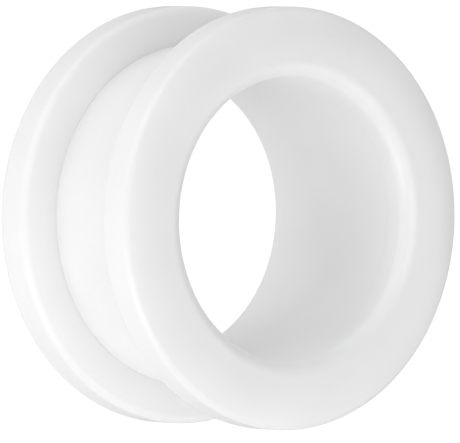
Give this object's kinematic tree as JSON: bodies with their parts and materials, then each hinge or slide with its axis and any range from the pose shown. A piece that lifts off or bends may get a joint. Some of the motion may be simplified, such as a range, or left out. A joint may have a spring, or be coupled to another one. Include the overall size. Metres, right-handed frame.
{
  "type": "screw fit flesh tunnel",
  "caption": "Hollow round ear tunnel with a flange at each end and a screw joint hidden inside the barrel, in gloss white acrylic.",
  "frame": {"origin": "centre of the back flange's outer face, on which the part lies", "axes": "+Z along the tunnel, from the back flange up to the front flange"},
  "size_m": [0.0246, 0.0246, 0.0129],
  "materials": {
    "white_acrylic": "smooth polished white acrylic, opaque with a slight milky depth"
  },
  "bodies": {
    "back": {"back_half": "white_acrylic"},
    "front": {"front_half": "white_acrylic"}
  },
  "joints": [
    {"name": "unscrew", "type": "slide", "parent": "back", "child": "front", "axis": [0, 0, 1], "range_m": [0, 0.016]}
  ]
}
